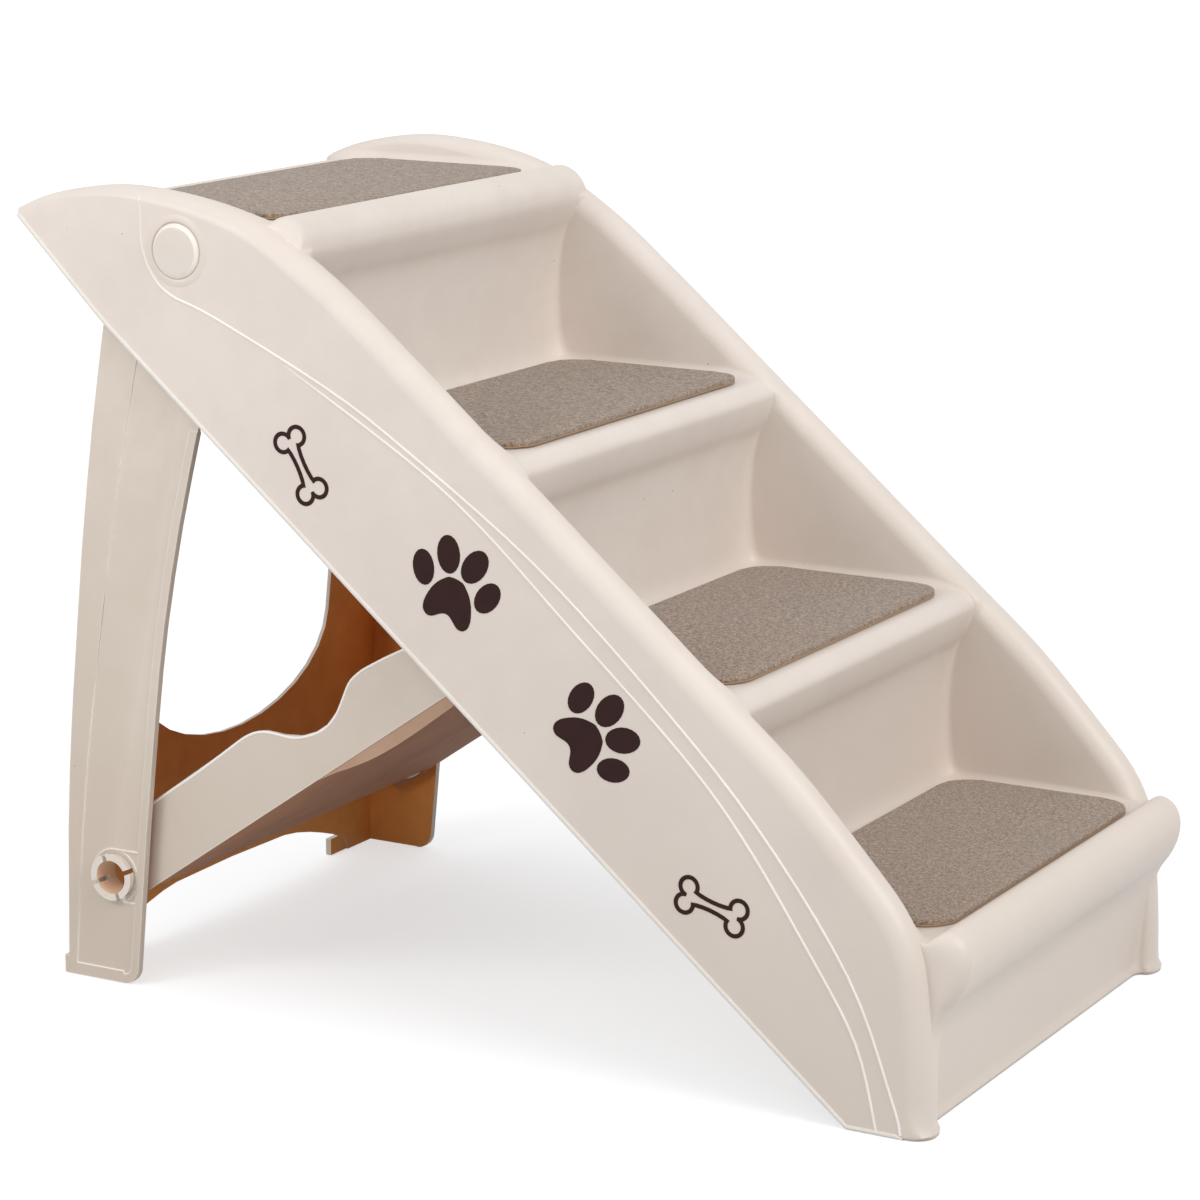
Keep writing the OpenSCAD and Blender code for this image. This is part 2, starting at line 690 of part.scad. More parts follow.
// Places a printed figure on the outside of the right rail, or mirrored on the left one
module on_rail(place_shares, angle, side) {
    mirror([0, side == "left" ? 0 : 1, 0])
        translate([place_shares[0] * front_x - centre_x, rail_outer_y + print_thickness,
            place_shares[1] * crest_z])
            rotate([90, 0, 0])
                linear_extrude(print_thickness)
                    rotate(angle)
                        children();
}

// Outline of a bone, with round ends and a waist, at a distance inside its edge
module bone_shape(inset) {
    knob = bone_length * bone_knob_share;
    reach = bone_length / 2 - knob;
    side = [for (s = bone_side_shares) [s[0] * bone_length, s[1] * bone_length - inset]];
    for (x = [-reach, reach], y = [-knob, knob])
        translate([x, y * bone_spread_share])
            circle(r = knob - inset, $fn = 24);
    polygon(concat(side, [for (p = reversed(side)) [p[0], -p[1]]]));
}

module bone_print(place_shares, angle, side) {
    color([0.23, 0.14, 0.12])
        on_rail(place_shares, angle, side)
            difference() {
                bone_shape(0);
                bone_shape(outline_width);
            }
}

module paw_print(place_shares, angle, side) {
    color([0.23, 0.14, 0.12])
        on_rail(place_shares, angle, side) {
            for (t = paw_toe_shares)
                translate([t[0] * paw_width, t[1] * paw_width])
                    polygon([for (a = [0:18:342]) let (
                        u = t[2] * paw_width * cos(a),
                        v = t[3] * paw_width * sin(a))
                        [u * cos(t[4]) - v * sin(t[4]), u * sin(t[4]) + v * cos(t[4])]]);
            heel = smooth([for (s = paw_heel_shares) s * paw_width]);
            polygon(concat(heel, [for (i = [len(heel) - 2:-1:1]) [-heel[i][0], heel[i][1]]]));
        }
}

stair_body();
leg_frame();
brace();
pivot_pin();  // pivot_pin_left
mirror([0, 1, 0]) pivot_pin();  // pivot_pin_right
brace_peg();  // brace_peg_left
mirror([0, 1, 0]) brace_peg();  // brace_peg_right
tread_pad(0);  // tread_pad_1
tread_pad(1);  // tread_pad_2
tread_pad(2);  // tread_pad_3
tread_pad(3);  // tread_pad_4
bone_print(bone_rear_shares, bone_rear_angle, "left");  // bone_print_rear_left
bone_print(bone_rear_shares, bone_rear_angle, "right");  // bone_print_rear_right
paw_print(paw_rear_shares, paw_rear_angle, "left");  // paw_print_rear_left
paw_print(paw_rear_shares, paw_rear_angle, "right");  // paw_print_rear_right
paw_print(paw_front_shares, paw_front_angle, "left");  // paw_print_front_left
paw_print(paw_front_shares, paw_front_angle, "right");  // paw_print_front_right
bone_print(bone_front_shares, bone_front_angle, "left");  // bone_print_front_left
bone_print(bone_front_shares, bone_front_angle, "right");  // bone_print_front_right
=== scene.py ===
import math

import bmesh
import bpy
from mathutils import Matrix, Vector


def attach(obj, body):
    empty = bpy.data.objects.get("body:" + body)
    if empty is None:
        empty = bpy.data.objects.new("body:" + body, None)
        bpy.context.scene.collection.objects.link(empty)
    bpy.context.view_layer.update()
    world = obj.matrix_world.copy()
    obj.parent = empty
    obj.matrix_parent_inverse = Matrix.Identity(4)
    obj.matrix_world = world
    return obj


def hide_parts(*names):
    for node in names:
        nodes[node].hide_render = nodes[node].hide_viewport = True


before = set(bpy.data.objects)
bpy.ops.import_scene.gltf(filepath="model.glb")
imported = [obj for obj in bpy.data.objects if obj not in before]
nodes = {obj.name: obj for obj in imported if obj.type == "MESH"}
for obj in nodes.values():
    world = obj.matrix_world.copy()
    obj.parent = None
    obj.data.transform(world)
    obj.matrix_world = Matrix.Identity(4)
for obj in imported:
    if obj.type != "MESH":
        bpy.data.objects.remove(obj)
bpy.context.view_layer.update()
mm = 0.001
middleX = 320  # the CAD frame's origin lies this far in front of the platform's rear edge, in mm
merging = 2e-6  # points nearer than this are one point


# shader maths

class Wire:  # a socket that takes part in Python sums
    def __init__(self, look, socket):
        self.look = look
        self.socket = socket

    def sum(self, operation, *values):
        return self.look.add("ShaderNodeMath", {"operation": operation}, values)[0]

    def __add__(self, other): return self.sum("ADD", self, other)
    def __radd__(self, other): return self.sum("ADD", other, self)
    def __sub__(self, other): return self.sum("SUBTRACT", self, other)
    def __rsub__(self, other): return self.sum("SUBTRACT", other, self)
    def __mul__(self, other): return self.sum("MULTIPLY", self, other)
    def __rmul__(self, other): return self.sum("MULTIPLY", other, self)

    def within(self, low, high):  # 0 below low, 1 above high
        return self.look.add("ShaderNodeMapRange", {"interpolation_type": "SMOOTHSTEP"},
                             {"Value": self, "From Min": low, "From Max": high})["Result"]


class Outputs:
    def __init__(self, look, node):
        self.look = look
        self.node = node

    def __getitem__(self, key):
        return Wire(self.look, self.node.outputs[key])


class Look:  # one material, or the world, and the nodes in it
    def __init__(self, owner):
        owner.use_nodes = True
        self.owner = owner
        self.tree = owner.node_tree
        self.shader = self.tree.nodes.get("Principled BSDF")

    def add(self, kind, settings=None, values=None):
        node = self.tree.nodes.new(kind)
        for key, value in (settings or {}).items():
            setattr(node, key, value)
        pairs = values.items() if isinstance(values, dict) else enumerate(values or [])
        for key, value in pairs:
            self.plug(node.inputs[key], value)
        return Outputs(self, node)

    def plug(self, socket, value):
        if isinstance(value, Wire):
            self.tree.links.new(value.socket, socket)
        elif socket.type == "RGBA":
            socket.default_value = (*value, 1)
        else:
            socket.default_value = value

    def place(self):
        return self.add("ShaderNodeTexCoord")["Object"]

    def noise(self, scale, detail=3, roughness=0.5):
        return self.add("ShaderNodeTexNoise", None, {
            "Vector": self.place(), "Scale": scale, "Detail": detail,
            "Roughness": roughness})["Fac"]

    def mix(self, share, low, high):
        return self.add("ShaderNodeMix", {"data_type": "RGBA"}, {0: share, 6: low, 7: high})[2]

    def bump(self, height, strength, distance, normal=None):
        values = {"Height": height, "Strength": strength, "Distance": distance}
        if normal:
            values["Normal"] = normal
        return self.add("ShaderNodeBump", None, values)["Normal"]

    def edges(self, radius, samples=4, low=0.01, high=0.2):  # 1 along sharp edges, 0 on flat faces
        soft = self.add("ShaderNodeBevel", {"samples": samples}, {"Radius": radius})["Normal"]
        sharp = self.add("ShaderNodeNewGeometry")["Normal"]
        same = self.add("ShaderNodeVectorMath", {"operation": "DOT_PRODUCT"}, [soft, sharp])
        return (1 - same["Value"]).within(low, high)

    def finish(self, **values):
        for key, value in values.items():
            self.plug(self.shader.inputs[key.replace("_", " ")], value)
        return self.owner


def rgb(red, green, blue):  # screen values of 0 to 255, as linear light
    return tuple((v / 255 / 12.92) if v <= 10 else ((v / 255 + 0.055) / 1.055) ** 2.4
                 for v in (red, green, blue))


plasticColors = {  # main color, a second tone that noise mixes in, and the colour of the painted edge highlight
    "body": (rgb(230, 219, 209), rgb(225, 213, 203), rgb(250, 245, 238)),
    # rim: lighter plastic, a painted highlight on beads, raised lines and rounded edges; it is
    # also glossier
    "rim": (rgb(250, 245, 238), rgb(243, 235, 226), rgb(250, 245, 238)),
    "leg": (rgb(224, 211, 198), rgb(216, 202, 188), rgb(250, 245, 238)),
    # inside: warm orange-brown, painted shade and warm bounce light on the leg's inner faces; the
    # plastic itself is cream
    "inside": (rgb(244, 168, 92), rgb(230, 152, 78), rgb(206, 172, 140)),
    # web: brown, painted shade on the brace's underside and inner sides
    "web": (rgb(186, 132, 98), rgb(168, 116, 84), rgb(190, 150, 122)),
    # fold: brownish, painted shade on the folded margin under the brace's web
    "fold": (rgb(192, 158, 134), rgb(182, 146, 120), rgb(214, 186, 164)),
    "bore": (rgb(244, 214, 188), rgb(236, 202, 172), rgb(250, 232, 214)),
    # groove: brownish, painted shade for a flat ring around the pivot button
    "groove": (rgb(212, 190, 170), rgb(204, 180, 158), rgb(212, 190, 170)),
    "pin": (rgb(232, 222, 212), rgb(226, 215, 204), rgb(250, 244, 238)),
}

plasticLook = {  # cloud, streak and scuff: scale and detail; grain and wave: the bump after them
    "cloud": (9, 4),
    "streak": (60, 3),
    "streakShare": 0.3,
    "tone": (0.35, 0.65),
    "specks": 95,
    "speckSize": (0.03, 0.07),
    "speckChance": (0.955, 0.96),
    "speckShare": 0.7,
    "speckColor": rgb(110, 84, 66),
    # the low colour is painted shade, darker towards the floor
    "dustColor": rgb(196, 180, 163),
    "dustHeight": 0.4,
    "dustLeast": 0.75,
    "dustStreak": 0.5,
    # how far sharp edges turn to the lighter edge colour, a painted highlight
    "edgeShare": 0.8,
    "scuff": (180, 5, 0.7),
    "scuffed": 0.16,
    "clouded": 0.1,
    "roughness": 0.42,
    "grain": (1400, 2),
    "grainBump": (0.05, 0.0004),
    "wave": (26, 1),
    "waveBump": (0.04, 0.004),
}


def moulded(name, tint, specks=True, rough=0.0, rim=0.0009, shine=0.42, lowShade=0):
    p = plasticLook
    color, otherTone, edge = plasticColors[tint]
    look = Look(bpy.data.materials.new(name))
    cloud = look.noise(*p["cloud"])
    streak = look.noise(*p["streak"])
    tone = (cloud * (1 - p["streakShare"]) + streak * p["streakShare"]).within(*p["tone"])
    paint = look.mix(tone, otherTone, color)
    if specks:
        dots = look.add("ShaderNodeTexVoronoi", {"feature": "F1"},
                        {"Vector": look.place(), "Scale": p["specks"]})
        chance = look.add("ShaderNodeSeparateColor", None, [dots["Color"]])[0]
        mark = (1 - dots["Distance"].within(*p["speckSize"])) * chance.within(*p["speckChance"])
        paint = look.mix(mark * p["speckShare"], paint, p["speckColor"])
    if lowShade:  # painted shade: darker towards the floor, thinner with height, mottled by the streak noise
        height = look.add("ShaderNodeSeparateXYZ", None, [look.place()])["Z"]
        low = 1 - height.within(0, p["dustHeight"])
        lowShadeLayer = low * (p["dustLeast"] + streak * p["dustStreak"]) * lowShade
        paint = look.mix(lowShadeLayer, paint, p["dustColor"])
    # painted highlight: near sharp edges the colour turns lighter
    paint = look.mix(look.edges(rim) * p["edgeShare"], paint, edge)
    scuff = look.noise(*p["scuff"])
    polish = p["roughness"] + rough + (scuff - 0.5) * p["scuffed"] + (cloud - 0.5) * p["clouded"]
    waves = look.bump(look.noise(*p["wave"]), *p["waveBump"])
    normal = look.bump(look.noise(*p["grain"]), *p["grainBump"], waves)
    return look.finish(Base_Color=paint, Roughness=polish, Normal=normal,
                       Specular_IOR_Level=shine)


feltLook = {
    "fibre": (760, 2, 0.6),
    "clump": (330, 3, 0.7),
    "hairs": (1500, 3, 0.8),
    "patch": (16, 2),
    "fibreShare": 0.6,
    "tone": (0.36, 0.66),
    "dark": rgb(102, 82, 67),
    "light": rgb(188, 164, 142),
    "patchTone": (0.35, 0.65),
    "patchShare": 0.2,
    "patchColor": rgb(146, 129, 115),
    "bump": (0.75, 0.0011),
    "roughness": 0.92,
    "clumped": 0.12,
    "shine": 0.12,
    "sheen": 0.25,
    "sheenRoughness": 0.6,
}


def felted(p):
    look = Look(bpy.data.materials.new("grey felt"))
    fibre, clump, hairs, patch = (look.noise(*p[k]) for k in ("fibre", "clump", "hairs", "patch"))
    rest = 1 - p["fibreShare"]
    tone = (fibre * p["fibreShare"] + clump * rest).within(*p["tone"])
    paint = look.mix(tone, p["dark"], p["light"])
    paint = look.mix(patch.within(*p["patchTone"]) * p["patchShare"], paint, p["patchColor"])
    return look.finish(Base_Color=paint, Roughness=p["roughness"] + (clump - 0.5) * p["clumped"],
                       Normal=look.bump(fibre * p["fibreShare"] + hairs * rest, *p["bump"]),
                       Specular_IOR_Level=p["shine"], Sheen_Weight=p["sheen"],
                       Sheen_Roughness=p["sheenRoughness"])


backingLook = {  # the tan layer that the felt is bonded to
    "fibre": (700, 4, 0.7),
    "dark": rgb(136, 106, 78),
    "light": rgb(190, 160, 128),
    "roughness": 0.85,
    "varied": 0.1,
    "bump": (0.5, 0.0006),
    "shine": 0.5,
}

inkLook = {
    "fibre": (1600, 2),
    "patch": (120, 3),
    "dark": rgb(42, 22, 20),
    "light": rgb(54, 31, 28),
    "roughness": 0.45,
    "varied": 0.2,
    "bump": (0.06, 0.0003),
    "shine": 0.12,
}


def fibrous(name, p):
    look = Look(bpy.data.materials.new(name))
    fibre = look.noise(*p["fibre"])
    tone = look.noise(*p["patch"]) if "patch" in p else fibre
    return look.finish(Base_Color=look.mix(tone, p["dark"], p["light"]),
                       Roughness=p["roughness"] + (fibre - 0.5) * p["varied"],
                       Normal=look.bump(fibre, *p["bump"]), Specular_IOR_Level=p["shine"])


bodyPlastic = moulded("moulded cream plastic", "body", lowShade=0.3)
rimHighlightPlastic = moulded("glossy edge plastic with painted highlight", "rim", specks=False, rough=-0.08)
legPlastic = moulded("moulded leg plastic", "leg", rim=0.0014, lowShade=0.55)
insideShadePlastic = moulded("shaded inner plastic", "inside", rough=0.12, shine=0.2)
webShadePlastic = moulded("brace web plastic with painted shade", "web", rough=0.22, shine=0.1)
foldShadePlastic = moulded("brace fold plastic with painted shade", "fold", rough=0.2, shine=0.1)
borePlastic = moulded("bore plastic", "bore", specks=False, rough=0.1, shine=0.2)
grooveShadePlastic = moulded("groove plastic with painted shade", "groove", specks=False, rough=0.2)
pinPlastic = moulded("pin plastic", "pin", specks=False, rough=-0.1)
felt = felted(feltLook)
backing = fibrous("felt backing", backingLook)
ink = fibrous("printed ink", inkLook)
print("materials made")


# shared modelling helpers

def smooth(points, steps):  # a smooth curve through every point
    path = [Vector(p) for p in points]
    out = []
    for i in range(len(path) - 1):
        a, b, c, d = (path[max(i - 1, 0)], path[i], path[i + 1], path[min(i + 2, len(path) - 1)])
        for k in range(steps):
            t = k / steps
            out.append((b * 2 + (c - a) * t + (a * 2 - b * 5 + c * 4 - d) * t * t
                        + (b * 3 - a - c * 3 + d) * t ** 3) / 2)
    return out + [path[-1]]


def sized(shares, width, height, x=0, z=0):
    return [(x + s[0] * width, z + s[1] * height) for s in shares]


def filled(path, longest):  # long straight stretches get points of their own
    out = [path[0]]
    for a, b in zip(path, path[1:]):
        parts = max(1, math.ceil((b - a).length / longest))
        out += [a.lerp(b, k / parts) for k in range(1, parts + 1)]
    return out


def lengths(path):
    run = [0.0]
    for a, b in zip(path, path[1:]):
        run.append(run[-1] + (b - a).length)
    return run


def along(path, run, distance):  # point and unit direction at a distance along a path
    distance = min(max(distance, 0), run[-1])
    i = 1
    while i < len(run) - 1 and run[i] < distance:
        i += 1
    a, b = path[i - 1], path[i]
    share = (distance - run[i - 1]) / max(run[i] - run[i - 1], 1e-9)
    before = (path[i] - path[max(i - 2, 0)]).normalized()
    after = (path[min(i + 1, len(path) - 1)] - path[i - 1]).normalized()
    return a.lerp(b, share), before.lerp(after, share).normalized()


def nearest(path, run, point):  # the distance along a path of its point nearest to another
    best, where = 1e9, 0
    for i in range(len(path) - 1):
        a, b = path[i], path[i + 1]
        side = b - a
        share = min(max((point - a).dot(side) / max(side.length_squared, 1e-9), 0), 1)
        gap = (a + side * share - point).length
        if gap < best:
            best, where = gap, run[i] + side.length * share
    return where


def at(x, y, z):  # millimetres from the platform's rear edge, as a place in the CAD frame
    return Vector(((x - middleX) * mm, y * mm, z * mm))


def acrossFrom(way):  # a quarter turn to the left
    return Vector((-way.y, way.x))


def outwards(bm, axis, side=1):  # one shell's faces all look outwards along an axis
    bmesh.ops.recalc_face_normals(bm, faces=bm.faces)
    if sum(f.normal[axis] * f.calc_area() for f in bm.faces) * side < 0:
        bmesh.ops.reverse_faces(bm, faces=bm.faces)


def sweep(bm, count, stations, place, closed=False):  # place(i, j): where row i is at station j
    order = bm.verts.layers.int.get("order") or bm.verts.layers.int.new("order")
    row = []
    for i in range(count):
        vert = bm.verts.new(place(i, 0))
        vert[order] = i
        row.append(vert)
    edges = [bm.edges.new((a, b)) for a, b in zip(row, row[1:] + (row[:1] if closed else []))]
    first = list(row)
    for j in range(1, stations):
        made = bmesh.ops.extrude_edge_only(bm, edges=edges)["geom"]
        edges = [g for g in made if isinstance(g, bmesh.types.BMEdge)
                 and all(v in made for v in g.verts)]
        row = [g for g in made if isinstance(g, bmesh.types.BMVert)]
        for vert in row:
            vert.co = place(vert[order], j)
    return first, sorted(row, key=lambda v: v[order])


def piece(name, bm, material, body, sharp=38, merge=True):
    if merge:
        bmesh.ops.remove_doubles(bm, verts=bm.verts, dist=merging)
    mesh = bpy.data.meshes.new(name)
    bm.to_mesh(mesh)
    bm.free()
    mesh.shade_smooth()
    mesh.set_sharp_from_angle(angle=math.radians(sharp))
    obj = bpy.data.objects.new(name, mesh)
    bpy.context.scene.collection.objects.link(obj)
    for item in (material if isinstance(material, list) else [material]):
        mesh.materials.append(item)
    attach(obj, body)
    return obj


def bevelled(obj, width, segments=2, angle=35):
    change = obj.modifiers.new("soft edges", "BEVEL")
    change.width = width
    change.segments = segments
    change.limit_method = "ANGLE"
    change.angle_limit = math.radians(angle)
    change.harden_normals = True


def applied(obj):  # its modifiers become part of the mesh
    graph = bpy.context.evaluated_depsgraph_get()
    made = bpy.data.meshes.new_from_object(obj.evaluated_get(graph))
    old = obj.data
    obj.modifiers.clear()
    obj.data = made
    bpy.data.meshes.remove(old)


def cadCopy(bm, node):  # a CAD mesh with its flat faces made whole
    bm.from_mesh(nodes[node].data)
    bmesh.ops.remove_doubles(bm, verts=bm.verts, dist=merging)
    bmesh.ops.dissolve_limit(bm, angle_limit=math.radians(0.6), verts=bm.verts, edges=bm.edges,
                             use_dissolve_boundaries=False, delimit={"NORMAL"})


# the one-piece stair moulding, in mm and in shares of the main sizes

stairs = {
    "rise": 126.5,
    "run": 148,
    "firstTread": 114.5,
    "platform": 198,
    "overhang": 18,
    "frontX": 642,
    "topZ": 494,
    "crestZ": 513,
    "wall": 3,
    "tipTall": 3,
    "tallGrowth": 0.05,
    "tallLimit": 0.45,
    "innerY": 163,
    "outerY": 189.2,
    "filletRadius": 8,
    "across": [0, 45, 90, 125, 145],
    "turns": range(0, 91, 15),
    "leastStep": 0.35,
    "leastFoot": 0.2,
    "frontStart": (575, 165),
    "filletSlip": 0.3,
    "rimFlare": 1.8,
    "rimHeight": 5,
    "sideFlare": 0.2,
    "flareSlope": 3,
    "outerRows": 4,
    "beadOut": 0.8,
    "beadRoom": 2.6,
    "beadShare": 0.5,
    "beadSlope": 0.75,
    "beadWay": (0.64, 0.77),
    "curveSteps": 5,
    "pointGap": 6,
    "crestSteps": 4,
    "crestGap": 4,
    "lip": [(0.1, -1), (0, -0.6), (0.06, -0.18), (0.4, 0)],
    "lipHeight": 13,
    "step": [(-1.25, 0), (-0.72, -0.004), (-0.3, -0.022), (0, -0.075), (-0.08, -0.14),
             (-0.34, -0.235), (-0.67, -0.324), (-0.88, -0.47), (-0.96, -0.68), (-0.89, -0.84),
             (-0.78, -0.935), (-0.6, -0.985), (-0.3, -1)],
    "topStep": [(-1.34, 0), (-1.2, 0.03), (-0.95, 0.045), (-0.6, 0.041), (-0.22, 0.01),
                (0, -0.035), (0.05, -0.085), (-0.03, -0.145), (-0.34, -0.235), (-0.67, -0.324),
                (-0.88, -0.47), (-0.96, -0.68), (-0.89, -0.84), (-0.78, -0.935),
                (-0.6, -0.985), (-0.3, -1)],
    "lastStep": [(-1.22, 0), (-1.1, 0.033), (-0.8, 0.053), (-0.45, 0.039), (-0.15, -0.005),
                 (0, -0.07), (-0.01, -0.14), (-0.13, -0.212), (-0.37, -0.287), (-0.72, -0.37),
                 (-1.05, -0.49), (-1.28, -0.68), (-1.42, -0.85), (-1.5, -1)],
    "knobStart": 164.5,
    "crestRear": [(-0.003, 0.969), (0.019, 0.981), (0.05, 0.991), (0.097, 1), (0.143, 1),
                  (0.202, 0.991), (0.257, 0.973), (0.304, 0.943), (0.358, 0.898),
                  (0.408, 0.848), (0.444, 0.811)],
    "crestFront": [(0.743, 0.496), (0.777, 0.461), (0.838, 0.396), (0.906, 0.308),
                   (0.942, 0.256), (0.961, 0.207), (0.968, 0.152), (0.973, 0.078), (0.975, 0)],
    "lower": [(-0.003, 0.957), (0.044, 0.899), (0.093, 0.839), (0.898, 0)],
    "lowerLine": [(0.303, 0.806), (0.44, 0.708), (0.517, 0.64), (0.611, 0.536), (0.726, 0.408),
                  (0.79, 0.32), (0.856, 0.203), (0.906, 0.102), (0.928, 0.004)],
    "upperLine": [(0.14, 0.993), (0.142, 0.972), (0.143, 0.934), (0.154, 0.901), (0.175, 0.877),
                  (0.226, 0.854), (0.351, 0.783), (0.435, 0.722), (0.571, 0.607),
                  (0.695, 0.473), (0.803, 0.337), (0.897, 0.179), (0.943, 0.043),
                  (0.952, 0.004)],
}
crestRadius = (stairs["outerY"] - stairs["innerY"]) / 2


def stairPaths(s):  # side views of the treads, the rail's crest and its lower edge
    steps, width, height, gap = s["crestSteps"], s["frontX"], s["crestZ"], s["crestGap"]
    outlines = [sized(s["lip"], s["lipHeight"], s["lipHeight"], 0, s["topZ"])]
    for k in range(3):
        outlines.append(sized(s["step" if k else "topStep"], s["overhang"], s["rise"],
                              s["platform"] + k * s["run"], s["topZ"] - k * s["rise"]))
    outlines.append(sized(s["lastStep"], s["overhang"], s["firstTread"], width, s["firstTread"]))
    profile = sum((smooth(outline, s["curveSteps"]) for outline in outlines), [])
    crest = smooth(sized(s["crestRear"], width, height), steps)
    crest += smooth(sized(s["crestFront"], width, height), steps)
    lower = [Vector(p) for p in sized(s["lower"], width, height)]
    lower = smooth(lower[:3], steps) + [lower[3]]
    return filled(profile, s["pointGap"]), filled(crest, gap), filled(lower, gap)


def crestTall(s, ridge):  # the crest is sharper towards the rear tip
    return min(crestRadius, s["tipTall"] + s["tallGrowth"] * max(ridge.x, 0))


def stairStations(s, profile, crest, crestRun, lower, lowerRun, cornerX):
    places = []  # for each point of the profile, how far along the crest it ends
    last = -1.0
    for i, point in enumerate(profile):
        left = (len(profile) - 1 - i) * s["leastStep"]
        last = min(max(nearest(crest, crestRun, point), last + s["leastStep"]),
                   crestRun[-1] - left)
        places.append(last)
    places[-1] = crestRun[-1]
    frontStart = nearest(crest, crestRun, Vector(s["frontStart"]))
    lowerStart = nearest(lower, lowerRun, along(crest, crestRun, frontStart)[0])
    feet = []  # and how far along the lower edge
    last = -1.0
    for where in places:
        if where < frontStart:
            foot = nearest(lower, lowerRun, along(crest, crestRun, where)[0])
        else:
            share = (where - frontStart) / (crestRun[-1] - frontStart)
            foot = lowerStart + (lowerRun[-1] - lowerStart) * share
        last = max(foot, last + s["leastFoot"])
        feet.append(min(last, lowerRun[-1]))
    cornerRun = nearest(lower, lowerRun, Vector((cornerX, 0)))
    corner = min(range(len(feet)), key=lambda i: abs(feet[i] - cornerRun))
    feet[corner] = cornerRun
    return places, feet


def mouldedStairs(s):
    profile, crest, lower = stairPaths(s)
    crestRun = lengths(crest)
    cornerX = lower[-1].x
    lower += filled([lower[-1], Vector((crest[-1].x - crestRadius, 0))], s["crestGap"])[1:]
    lowerRun = lengths(lower)
    places, feet = stairStations(s, profile, crest, crestRun, lower, lowerRun, cornerX)
    fillet = s["filletRadius"]
    filletY = s["innerY"] - fillet
    turns = [math.radians(t) for t in s["turns"]]
    quarter = math.radians(90)
    talls = {}

    def section(i):  # (y, side-view point) pairs from the middle out over the crest and down
        point = profile[i]
        ridge, way = along(crest, crestRun, places[i])
        up = acrossFrom(way)
        rise = (ridge - point).dot(up)
        slip = ridge - point - up * rise
        foot = along(lower, lowerRun, feet[i])[0]
        tall = min(crestTall(s, ridge), s["tallLimit"] * (ridge - foot).length)
        if i == len(profile) - 1:
            tall = crestRadius
        talls[i] = tall
        out = [(y, point) for y in s["across"]]
        if rise > 0:  # a fillet, the rail's inner wall and half the crest
            need = fillet + tall
            bend = min(rise, need) * fillet / need
            cap = min(rise, need) * tall / need
            for t in turns:
                out.append((filletY + fillet * math.sin(t), point + up * bend * (1 - math.cos(t))
                            + slip * (t / quarter) * s["filletSlip"]))
            for t in turns:
                share = math.sin(t)
                out.append((s["innerY"] + crestRadius * (1 - math.cos(t)),
                            point + up * (rise - cap + cap * share)
                            + slip * (s["filletSlip"] + (1 - s["filletSlip"]) * share)))
        elif point.x < s["platform"] + s["run"] / 2 or point.x > s["frontX"] - s["run"] / 2:
            stop = s["innerY"] + crestRadius  # the first and last nosing end in a round knob
            out += [(filletY + fillet * math.sin(t), point) for t in turns]
            out += [(s["knobStart"] + (stop - s["knobStart"]) * math.sin(t),
                     point + (up * rise + slip) * (1 - math.cos(t))) for t in turns]
        else:  # the other nosings run out into the crest
            for y in ([filletY + fillet * math.sin(t) for t in turns]
                      + [s["innerY"] + crestRadius * (1 - math.cos(t)) for t in turns]):
                share = min(max((y - filletY) / (fillet + crestRadius), 0), 1)
                ease = (1 - math.cos(math.pi * share)) / 2
                out.append((y, point + up * rise * ease + slip * ease))
        for t in turns[1:]:
            out.append((s["innerY"] + crestRadius * (1 + math.sin(t)),
                        ridge - up * tall * (1 - math.cos(t))))
        inward = Vector(s["beadWay"]) if foot.y > 1 else Vector((0, 1))
        side = ridge - up * tall
        room = min(s["beadRoom"], s["beadShare"] * max((side - foot).dot(inward), 0))
        beadY = s["outerY"] + s["beadOut"]
        return out + [(s["outerY"], foot + inward * room),
                      (beadY, foot + inward * room * s["beadSlope"]), (beadY, foot)]

    sections = [section(i) for i in range(len(profile))]
    rows = len(sections[0])
    for rail in sections:  # the rim at the floor stands out a little
        for j, (y, point) in enumerate(rail):
            if point.y < s["rimHeight"]:
                share = min(1, s["flareSlope"] * (1 - point.y / s["rimHeight"]))
                if j >= rows - s["outerRows"]:
                    share *= s["sideFlare"]
                rail[j] = (y, point + Vector((s["rimFlare"] * share, 0)))

    def place(i, j):
        j -= rows - 1
        y, point = sections[i][abs(j)]
        return at(point.x, math.copysign(y, j) if j else 0, point.y)

    bm = bmesh.new()
    sweep(bm, len(profile), 2 * rows - 1, place)
    bmesh.ops.remove_doubles(bm, verts=bm.verts, dist=1e-5)
    outwards(bm, 2)
    for face in bm.faces:  # the bead along the lower edge, lighter as a painted highlight
        if abs(face.calc_center_median().y) > (s["outerY"] + s["beadOut"] - 0.1) * mm:
            face.material_index = 1
    obj = piece("stairMoulding", bm, [bodyPlastic, rimHighlightPlastic], "stairs",
                merge=False)
    thin = obj.vertex_groups.new(name="wall")  # the rails' narrow rear tips have a thinner wall
    for vert, held in zip(obj.data.vertices, obj.data.attributes["order"].data):
        thin.add([vert.index], min(1, talls[held.value] / crestRadius), "REPLACE")
    wall = obj.modifiers.new("wall", "SOLIDIFY")
    wall.vertex_group = "wall"
    wall.thickness = s["wall"] * mm
    wall.offset = -1
    wall.use_even_offset = False
    applied(obj)
    for vert in obj.data.vertices:  # nothing reaches under the floor
        vert.co.z = max(vert.co.z, 0)
    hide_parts("stair_body")
    return sections[0]


rearSection = mouldedStairs(stairs)
print("stair moulding made")

styledLine = {"half": 0.85, "high": 0.6, "sunk": 0.1, "fade": 60, "thinnest": 0.25, "around": 6}


def halfRound(way, half, high, i, steps):  # one point of a bead's round: side-view shift, height
    turn = math.pi * i / steps
    return acrossFrom(way) * math.cos(turn) * half, high * math.sin(turn)


